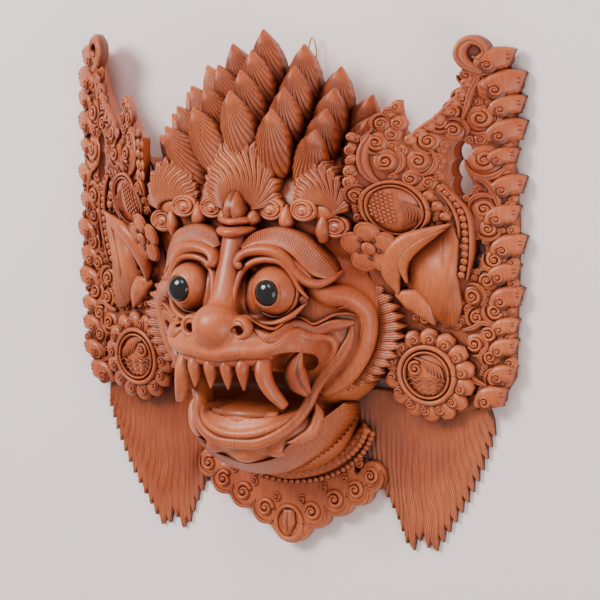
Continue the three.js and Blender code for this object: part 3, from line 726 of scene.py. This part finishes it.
band(carving, nostril_rim, [1.6, 2.4, 2.6, 1.8], height=3, depth=8, both=True, step=1.4)
band(carving, [(0, -49, 111), (14, -48, 111), (30, -47, 107), (42, -44, 100)],
     [4.4, 4.4, 4.2, 2], height=3.4, depth=8, both=True)
finish_piece(carving, "whiskers_and_lips")

carving = new_carving()
for x in (7.5, 22):
    band(carving, [(x, -47, 108), (x, -54, 111), (x + 0.5, -70, 108)], [6.6, 5.6, 3.0, 0.3],
         height=5, depth=6, crown=2, both=True, step=1.5)
band(carving, [(35, -46, 103), (37, -58, 106), (41, -70, 102), (48, -82, 93)], [6.4, 6.2, 5.6, 4.8, 3.2],
     height=5, depth=6, crown=2, both=True, step=1.5)
band(carving, [(55, -74, 70), (53, -64, 79), (55, -52, 86), (60, -38, 85)], [4, 8.4, 8.6, 5.4, 0.4],
     height=4, depth=8, strands=2, groove=0.8, up=(0.7, 0, 0.7), both=True)
band(carving, [(-30, -93, 74), (0, -97, 84), (30, -93, 74)], [4, 7, 4], height=2, depth=8)
# The tongue is darkened as painted shade inside the mouth.
bead(carving, (0, -92, 60), (32, 9, 26), fine=28, rough=0.55)
finish_piece(carving, "teeth_and_tongue")

# %% [markdown]
# Short hair frames the cheeks and jaw, then the collar follows with its beads, scrolls and
# shield. The cheek hair is a fan between two ellipses and the jaw hair one between two paths.
# The collar's plate is discs and a block melted into one.

# %% Cheek hair and collar
carving = new_carving()
RUFF = (40, -25)
fan(carving, lambda u: ellipse((*RUFF, 36), 50, 36, blend(50, -86, u)),
    lambda u: ellipse((*RUFF, 38), 80, 54, blend(50, -86, u)), 16, 64, height=4, saw=0.2, bend=0.02,
    point=1.3, depth=24, both=True, rows=14, puff=0.6)
jaw_root = trail([(0, -131, 72), (14, -129, 72), (29, -124, 72), (42, -114, 75), (53, -105, 68),
                  (60, -95, 58), (65, -88, 47), (68, -83, 38)])
jaw_tip = trail([(0, -142, 50), (14, -141, 50), (30, -136, 54), (46, -127, 56), (58, -117, 50),
                 (64, -106, 40), (69, -95, 34), (69, -85, 34)])
fan(carving, jaw_root, jaw_tip, 24, 72, height=2.2, groove=0.6, saw=0.14, bend=0.008, depth=16,
    both=True, rows=12, puff=0.6)
finish_piece(carving, "cheek_hair")

collar_lobes = [(0, -183, 18), (22, -174, 14), (43, -163, 14), (62, -154, 13), (76, -142, 12)]
COLLAR_TOP, COLLAR_MIDDLE = 12.5, 6.3
carving = new_carving()
for x, y, radius in collar_lobes:
    for sign in (1, -1):
        if x or sign > 0:
            disc(carving, (sign * x, y, COLLAR_MIDDLE), radius, COLLAR_TOP, 36)
place = placed((0, -138, COLLAR_MIDDLE), (136, 52, 12.4))
for vert in bmesh.ops.create_cube(carving, size=1, matrix=place)["verts"]:
    vert.co.x *= 1.0 if vert.co.y > -138 else 0.75
plate_mesh = settle("plate", carving, PLATE_VOXEL, 3)
carving = new_carving()
for k, (x, y, radius) in enumerate(collar_lobes):
    if x:
        start = math.radians(200 - 20 * k)
        scroll(carving, (x, y), radius * 0.66, COLLAR_TOP, start=start, hand=-1, both=True)
        arc = [ellipse((x, y, 12), radius * 0.84, radius * 0.84, a) for a in range(-150, 31, 20)]
        band(carving, arc, [0.6, 2.2, 0.6], height=2.4, strands=2, depth=3, both=True, step=1.6)
        scroll(carving, (x - 10, y + 9), 4.6, COLLAR_TOP, start=1.0, both=True)
hoop(carving, (0, -184, COLLAR_TOP), 12, 13, 2.2, 2.5, 3, every=24, step=1.4)
band(carving, [(0, -174, 13), (0, -184, 14), (0, -196, 12)], [6, 7, 0.6], height=2.4, strands=2, depth=3)
for radius_x, radius_y, count, size in ((74, 45, 34, 3.3), (79, 53, 38, 2.6)):
    for k in range(count):
        a = math.radians(blend(-12, -168, k / (count - 1)))
        bead(carving, (radius_x * math.cos(a), -98 + radius_y * math.sin(a), 15 if size > 3 else 13),
             (size, size, size), fine=10)
band(carving, [(-74, -104, 14), (-44, -131, 15), (0, -142, 18), (44, -131, 15), (74, -104, 14)],
     [5, 6.5, 7, 6.5, 5], height=4, hatch=26, slant=1.0, groove=0.9, depth=6)
resize(carving, MM)
carving.from_mesh(plate_mesh)
resize(carving, 1 / MM)
finish_piece(carving, "collar")

# %% [markdown]
# A side block is a plank that leans back from the face, more at the crown than at the beard.
# It's easier to carve it flat and bend it afterwards, as a steamed plank is bent, so here all
# of its scrolls are laid out with their height over the plank, and one rule bends them all.

# %% Side blocks: plank
HALF_WIDTH = 205
WING_EDGE = 8
SWEEP_PLACES, SWEEP_DEGREES = [-110, -60, 0, 80], [3, 10, 15, 32]
PLANK_DEPTH = 12
LOBE_CORE = 0.84


def wing_face(x, y):
    """Height of the plank's face over the floor."""
    sweep = np.interp(y, SWEEP_PLACES, SWEEP_DEGREES)
    return WING_EDGE + (HALF_WIDTH - x) * math.tan(math.radians(sweep))


def bend_plank(carving):
    for vert in carving.verts:
        vert.co.z = max(0.0, wing_face(vert.co.x, vert.co.y) + vert.co.z)


def outline_slab(carving, corners, low, high):
    """An upright slab with the outline of a few corners."""
    made = [carving.verts.new((x, y, high)) for x, y in corners]
    lid = carving.faces.new(made)
    if lid.normal.z < 0:
        lid.normal_flip()
    grown = bmesh.ops.extrude_face_region(carving, geom=[lid])["geom"]
    bmesh.ops.translate(carving, verts=[g for g in grown if isinstance(g, bmesh.types.BMVert)],
                        vec=(0, 0, low - high))
    bmesh.ops.recalc_face_normals(carving, faces=carving.faces[:])


edge_lobes = [
    (176, 187, 9), (190, 180, 8), (196, 162, 9), (198, 146, 7), (198, 127, 8), (195, 108, 6),
    (199, 86, 7), (195, 64, 7), (199, 41, 7.5), (195, 20, 7), (197, 2, 7.5), (195, -20, 6),
    (194, -36, 6.5), (193, -56, 6.5), (184, -74, 8),
]
plank_outline = [
    (94.3, -24), (94.3, 118), (104, 122), (126, 151), (129.6, 120.5), (140, 131), (148, 136), (157, 147),
    (164, 155), (171, 168), (168, 180), (169, 190), (182, 190), (192, 176), (197, 160), (200, 120),
    (198, 100), (201, 60), (200, 0), (198, -60), (184, -80), (140, -92), (112, -76), (104, -54),
]
plank_holes = [(168, 111, 6.0), (166, 98, 5.5), (168, 86, 6.5), (176, 38, 5.0), (172, 28, 4.0)]

carving = new_carving()
outline_slab(carving, plank_outline, -PLANK_DEPTH, 0)
for x, y, radius in edge_lobes:
    disc(carving, (x, y, -PLANK_DEPTH / 2), radius * LOBE_CORE, PLANK_DEPTH, 30)
plank = settle("plank", carving, PLATE_VOXEL, 2)
plank = cut_away(plank, [((x, y, -5), (radius, radius * 1.4, 30)) for x, y, radius in plank_holes])

# %% [markdown]
# On the plank lie the edge leaves, the scrolls, the ear, the temple flower, the oval and the
# medallion. Most are bands and balls again, only their paths wind, and the ear stands on a
# slab. A scroll gets a round pad under it, and small ones fill what ground is left.

# %% Side blocks: relief
def add_to(whole, part):
    """Moves a finished part of the carving into the whole; small parts keep the operators quick."""
    mesh = as_mesh(part, "part")
    whole.from_mesh(mesh)
    bpy.data.meshes.remove(mesh)


def volute(part, x, y, radius, start, hand):
    """A round pad with a scroll rolled up on it."""
    bead(part, (x, y, -0.6), (radius * 1.22, radius * 1.22, 2.8), fine=16)
    scroll(part, (x, y), radius, 1.4, start=start, hand=hand)


def line_cut(part, points, half=1.5):
    """A shallow incised line with a soft lip on either side."""
    band(part, points, [0.3, half, half, 0.3], height=0.8, strands=2, groove=1.0, depth=2, step=1.6)


# Painted shade: the plank's ground between the ornaments is darkened through the cut number.
GROUND_PAINTED_SHADE = 0.6
relief = reopen(plank)
mark = relief.verts.layers.float["cut"]
for vert in relief.verts:
    vert[mark] = GROUND_PAINTED_SHADE if vert.co.z > -2 else 0.0

part = new_carving()
band(part, [(181, 170, 1), (173, 174, 2), (167.5, 181, 3), (168, 189, 3.4), (174, 194, 3.4),
            (181, 191, 3), (183, 185, 2.6), (179, 180, 2.2), (175, 182, 2)],
     [3, 4.2, 4.6, 4.6, 4.4, 3.8, 3, 2.2, 1.2], height=4, depth=8, strands=2, groove=0.5, step=1.4)
for x, y, radius in edge_lobes[1:]:
    band(part, [(x - radius * 2.0, y - radius * 0.9, 0), (x - radius * 0.6, y - radius * 0.1, 1.6),
                (x + radius * 0.4, y + radius * 0.1, 1.4), (x + radius * 0.93, y, 0.6)],
         [radius * k for k in (0.2, 0.9, 1.1, 1.1, 0.96)], height=3.4, depth=9, crown=8, step=1.4)
    eye_x, eye_y = x - radius * 0.62, y - radius * 0.55
    # The pad under each lobe's scroll and the two notch marks at its rim are painted dark as painted
    # shade.
    bead(part, (eye_x, eye_y, 3.6), (radius * 0.82, radius * 0.82, 1.5), rough=0.95, fine=18)
    scroll(part, (eye_x, eye_y), radius * 0.68, 4.2, start=2.6, hand=-1)
    for q in (0.05, 0.42):
        bead(part, (x + radius * 0.95, y + radius * q, 3.6), (1.5, 0.5, 1.6), rough=0.9, fine=6)
add_to(relief, part)

part = new_carving()
big_scrolls = [
    (184, 159, 8, 1), (180, 136, 9, -1), (183, 105, 10, 1), (169, 150, 6, -1), (162, 141, 5.5, 1),
    (154, 133, 5.5, -1), (147, 119, 7, 1), (163, 127, 6.5, -1), (120, 104, 8, 1), (114, 118, 6.5, -1),
    (117, 132, 5, 1), (141, 104, 8, -1), (136, 91, 6, 1), (101, 78, 6, -1), (182, 68, 8, 1),
    (184, 53, 6, -1), (188, 30, 7, 1), (182, 14, 7, -1), (170, 2, 7, 1), (187, -9, 7, -1),
    (173, -14, 6, 1), (182, -27, 7, -1), (171, -34, 7, 1), (183, -44, 6, -1), (186, -61, 6, 1),
    (176, -72, 6, -1), (171, 168, 5, 1),
]
for k, (x, y, radius, hand) in enumerate(big_scrolls):
    start = math.radians(75 * k)
    volute(part, x, y, radius, start, hand)
    leaf = [ellipse((x, y, 0.6), radius * 1.34, radius * 1.34, math.degrees(start) + hand * a)
            for a in range(30, 211, 30)]
    band(part, leaf, [0.4, radius * 0.3, radius * 0.34, 0.3], height=3, strands=2, groove=0.7,
         depth=4, step=1.8)
add_to(relief, part)

part = new_carving()
stems = [
    ([(156, 87), (164, 77), (171, 66), (172.5, 50), (171, 32), (167, 14)], 1.8, 1),
    ([(153, 83), (160, 73), (164, 60), (164, 46)], 1.5, 1),
    ([(111, 124), (106, 114), (105, 103), (109, 93), (117, 86)], 4.4, 2),
    ([(172, 172), (178, 166), (174, 156), (171, 144), (168, 134)], 2.6, 2),
    ([(133, 118), (141, 128), (150, 135), (158, 144), (166, 154), (171, 166)], 1.8, 1),
    ([(176, 92), (184, 88), (190, 78), (192, 66)], 3.0, 2),
    ([(158, -44), (164, -54), (170, -62), (180, -66)], 3.4, 2),
    ([(162, -24), (170, -22), (178, -18), (190, -22)], 2.6, 2),
]
for points, half, strands in stems:
    band(part, [(x, y, 1.6) for x, y in points], [half * 0.6, half, half, half * 0.4],
         height=3, strands=strands, groove=0.9, depth=5)


def buttons(part, path_points, count, size, lift):
    """A row of small round leaves, each with a small ball painted dark as its eye, as painted shade."""
    for x, y, z in smooth_path([(*p, lift) for p in path_points], count)[0]:
        bead(part, (x, y, z), (size, size, 2.6), fine=12)
        bead(part, (x - size * 0.2, y, z + 2.0), (size * 0.34, size * 0.2, 0.8), rough=1.0, fine=6)


buttons(part, [(155, 84), (163, 75), (167.5, 63), (168.5, 48), (166.5, 30), (163, 18)], 14, 3.0, 1.6)
buttons(part, [(136, 120), (144, 127), (152, 134), (160, 143), (167, 153), (171, 162)], 8, 4.4, 1.8)
buttons(part, [(98, 122), (99, 110), (98, 98), (98, 90)], 5, 3.4, 1.6)
buttons(part, [(147, 78), (152, 70), (156, 62)], 3, 4.0, 1.8)
add_to(relief, part)

# Small curls fill the ground that is left, as a carver fills it
taken = [(x, y, r * 1.2) for x, y, r, _ in big_scrolls]
taken += [(x - r * 0.4, y, r * 1.2) for x, y, r in edge_lobes]
taken += [(x, y, r + 2) for x, y, r in plank_holes]
taken += [(124, 67, 23), (105, 38, 19), (142, 20, 28), (137, -58, 38)]
taken += [(x, y, half + 1.5) for points, half, _ in stems
          for x, y, _ in smooth_path([(*p, 0) for p in points], 14)[0]]
taken += [(RUFF[0] + 70 * math.cos(a), RUFF[1] + 46 * math.sin(a), 15)
          for a in np.linspace(-1.4, 0.9, 12)]


def inside(x, y, corners):
    """Whether a place lies within an outline."""
    crossings = 0
    for (x1, y1), (x2, y2) in zip(corners, corners[1:] + corners[:1]):
        if (y1 > y) != (y2 > y) and x < x1 + (y - y1) * (x2 - x1) / (y2 - y1):
            crossings += 1
    return crossings % 2 == 1


CURL_ROWS, CURL_COLUMNS, CURL_PITCH_X, CURL_PITCH_Y = 70, 30, 3.6, 4.0
CURL_GAP, SMALLEST_CURL, LARGEST_CURL = 1.2, 2.8, 5.0
part = new_carving()
curls = 0
for row in range(CURL_ROWS):
    for column in range(CURL_COLUMNS):
        x = 97 + column * CURL_PITCH_X + (row % 2) * CURL_PITCH_X / 2
        y = -80 + row * CURL_PITCH_Y
        margin = min(math.hypot(x - a, y - b) - r for a, b, r in taken)
        if margin > CURL_GAP and inside(x, y, plank_outline):
            size = min(LARGEST_CURL, max(SMALLEST_CURL, margin + CURL_GAP))
            volute(part, x, y, size, 1.7 * curls, 1 if curls % 2 else -1)
            taken.append((x, y, size))
            curls += 1
add_to(relief, part)
print("ground curls", curls)

part = new_carving()
OVAL = (124, 67)
mid_x, mid_y = OVAL
for rx, ry, half in ((21.5, 21.5, 1.5), (18.4, 18.6, 1.0)):
    hoop(part, (*OVAL, 3.5), rx, ry, half, 2.0, 7)
bead(part, (*OVAL, 1), (18, 18.5, 5), fine=32)
for k in range(6):
    for q in range(8):
        x, y = mid_x - 15 + 3.0 * k, mid_y - 9 + 3.0 * q + (k % 2) * 1.5
        reach = math.hypot(x - mid_x, y - mid_y) / 18.5
        if reach < 0.86:
            bead(part, (x, y, 1.2 + 5 * math.sqrt(1 - reach ** 2)), (1.5, 1.5, 0.9), fine=8)
for k in range(6):
    x = mid_x + 4 + 2.2 * k
    line_cut(part, [(x, mid_y - 13 + k, 4.8), (x + 2.4, mid_y, 5.6), (x - 4, mid_y + 14 - 1.6 * k, 4.4)],
             1.0)
add_to(relief, part)

part = new_carving()
ear_outline = [(118, 28), (128, 42), (142, 50), (160.5, 57), (163.5, 44), (160, 18), (162.5, -6),
               (158, -21), (149, -20), (136, -9), (126, 2)]
outline_slab(part, ear_outline, -4, 5.0)
band(part, [(161, 57, 7), (147, 50, 10), (132, 42, 11), (121, 31, 10.5), (115, 17, 9.5), (117, 3, 7)],
     [0.6, 4.6, 7.6, 8.6, 7, 1], height=5, depth=11, crown=2.4)
band(part, [(158, 53, 9), (144, 45, 12), (131, 35, 12), (125, 24, 11), (125, 12, 8)],
     [0.4, 1.8, 2.6, 2.8, 0.8], height=3, depth=8, crown=2)
line_cut(part, [(156, 47, 5.2), (151.5, 24, 5.2), (153, 4, 5.2), (154, -8, 5.2), (150, -14, 5.2)])
for y in (30, 27, 6, 3):
    line_cut(part, [(136, y, 5.2), (140, y + 2.6, 5.2), (145, y + 3, 5.2)], 1.0)
band(part, [(114, 2, 3), (122, 0, 6), (132, -6, 5), (141, -21, 2)], [3, 9, 8, 1],
     height=4, depth=8, crown=3)
line_cut(part, [(120, 1, 9.2), (129, -6, 8.6), (136, -15, 6.4)])
flower = (105, 38)
PETALS = 5
for k in range(PETALS):
    a = math.radians(90 + 360 / PETALS * k)
    petal = (flower[0] + 11.2 * math.cos(a), flower[1] + 11.2 * math.sin(a))
    bead(part, (*petal, 9.0), (9.2, 9.2, 4.0), fine=24)
    rim = [ellipse((*petal, 11.2), 7.6, 7.6, 360 / PETALS * k + q) for q in range(-20, 201, 20)]
    band(part, rim, [0.2, 0.9, 0.9, 0.2], height=1.1, depth=3, step=1.4)
    # A small ball painted dark between each two petals is painted shade in the gap.
    gap = np.array(flower) + 7.6 * np.array([math.cos(a + 0.628), math.sin(a + 0.628)])
    bead(part, (*gap, 12.6), (2.0, 2.0, 1.2), rough=1.0, fine=10)
bead(part, (*flower, 12.6), (5.0, 5.0, 3.4), fine=22)
for dx, dy in ((1, 0), (0, 1)):
    line_cut(part, [(flower[0] - 3.6 * dx, flower[1] - 3.6 * dy, 14.6), (*flower, 15.8),
                    (flower[0] + 3.6 * dx, flower[1] + 3.6 * dy, 14.6)], 0.9)
add_to(relief, part)

part = new_carving()
MEDALLION = (136, -59)
mid_x, mid_y = MEDALLION
MEDALLION_LEAVES = 14
for k in range(MEDALLION_LEAVES):
    a = 2 * math.pi * (k + 0.3) / MEDALLION_LEAVES
    ray = np.array([math.cos(a), math.sin(a)])
    aside = np.array([-ray[1], ray[0]])
    begin, end = np.array(MEDALLION) + ray * 21, np.array(MEDALLION) + ray * 36
    leaf = [(*begin, 4), (*((begin + end) / 2 + aside), 6), (*(end - ray), 4)]
    band(part, leaf, [4.6, 7.4, 8.0, 6.6, 4.0], height=3.4, depth=7, step=1.5, crown=5)
    curl = np.array(MEDALLION) + ray * 27.5 - aside * 1.6
    # The pad under each curl is painted dark as painted shade.
    bead(part, (*curl, 8.4), (5.0, 5.0, 1.4), rough=0.9, fine=14)
    scroll(part, curl, 4.4, 9.0, start=a + 2.0, hand=-1)
for radius, half in ((21.5, 2.2), (17.6, 1.2)):
    hoop(part, (*MEDALLION, 9), radius, radius, half, 2.4, 8, every=15)
bead(part, (*MEDALLION, 5), (19, 19, 5.5), fine=32)
scroll(part, (mid_x - 8, mid_y + 5), 7, 9.4, start=1.0)
for k in range(6):
    line_cut(part, [(mid_x - 10 + 2.6 * k, mid_y + 14 - 0.8 * k, 10.2),
                    (mid_x - 2 + 2.6 * k, mid_y + 11 - k, 11),
                    (mid_x + 2 + 2.4 * k, mid_y + 2 - k, 10.6)], 1.3)
for k in range(4):
    y = mid_y - 3 - k * 3.6
    wide = math.sqrt(max(16 ** 2 - (y - mid_y) ** 2, 9))
    wave = [(mid_x - wide + 2 * wide * q / 8, y + (0.8 if q % 2 else -0.8), 10.9 - 0.7 * k)
            for q in range(9)]
    line_cut(part, wave, 1.1)
add_to(relief, part)
bend_plank(relief)

# %% [markdown]
# The beard hangs from the medallion as one sheet of long wavy strands that ends in two points.
# Each tooth of its edge is the end of one lock, five strands wide and a little rounded. Its
# cuts are shallow, so they keep less stain.

# %% Side blocks: beard
BEARD_STAIN = 0.45
beard_top = trail([(176, -84, 6), (150, -84, 7), (120, -78, 7), (84, -74, 6), (60, -76, 4)])
beard_foot = trail([
    (182, -100, 2), (172, -128, 2), (158, -156, 2), (142, -180, 2), (127, -199, 2), (116, -190, 2),
    (106, -199, 2), (94, -174, 2), (79, -150, 2), (62, -122, 2),
])
beard = new_carving()
fan(beard, beard_top, beard_foot, 24, 120, height=3.8, groove=0.9, saw=9, bend=0.010, depth=8, rows=48,
    waves=4, puff=0.7, point=1.05)
soft = beard.verts.layers.float["cut"]
for vert in beard.verts:
    vert.co.z = max(vert.co.z, 0.05)
    vert[soft] *= BEARD_STAIN

# %% [markdown]
# Both side blocks are the same carving, so the left one is a mirrored copy. A mirrored mesh
# comes out inside out, and its normals are worked out again.

# %% Side blocks: both sides
for side_name, sign in (("right", 1), ("left", -1)):
    for source, name in ((relief, "scrolls"), (beard, "beard")):
        copy = source.copy()
        bmesh.ops.scale(copy, verts=copy.verts[:], vec=(sign, 1, 1))
        node_names = (f"wing_{side_name}",) if name == "scrolls" else ()
        finish_piece(copy, f"wing_{side_name}_{name}", *node_names)
relief.free()
beard.free()

# %% [markdown]
# The mask hangs on a small brass loop behind the crown.

# %% Hanging wire
WIRE_RADIUS = 0.6
wire_path = [(14.5, 166, 7), (14.5, 186, 7), (18, 196, 7), (21.5, 186, 7), (21.5, 166, 7)]
path, _ = smooth_path(wire_path, 40)
along = unit(np.gradient(path, axis=0))
tube = new_carving()
ring = bmesh.ops.create_circle(tube, segments=12, radius=WIRE_RADIUS, cap_ends=False)["verts"]
flat_side = np.array([0, 0, 1.0])
loops = [ring]
for k in range(1, len(path)):
    edges = [e for e in tube.edges if e.verts[0] in loops[-1] and e.verts[1] in loops[-1]]
    grown = bmesh.ops.extrude_edge_only(tube, edges=edges)["geom"]
    loops.append([g for g in grown if isinstance(g, bmesh.types.BMVert)])
for k, loop in enumerate(loops):
    out = np.cross(along[k], flat_side)
    for vert in loop:
        angle = math.atan2(vert.co.y, vert.co.x)
        vert.co = path[k] + WIRE_RADIUS * (math.cos(angle) * out + math.sin(angle) * flat_side)
bmesh.ops.holes_fill(tube, edges=[e for e in tube.edges if e.is_boundary])
finish_piece(tube, "hanging_wire_loop", "hanging_wire", look=(brass, "brass_wire"))
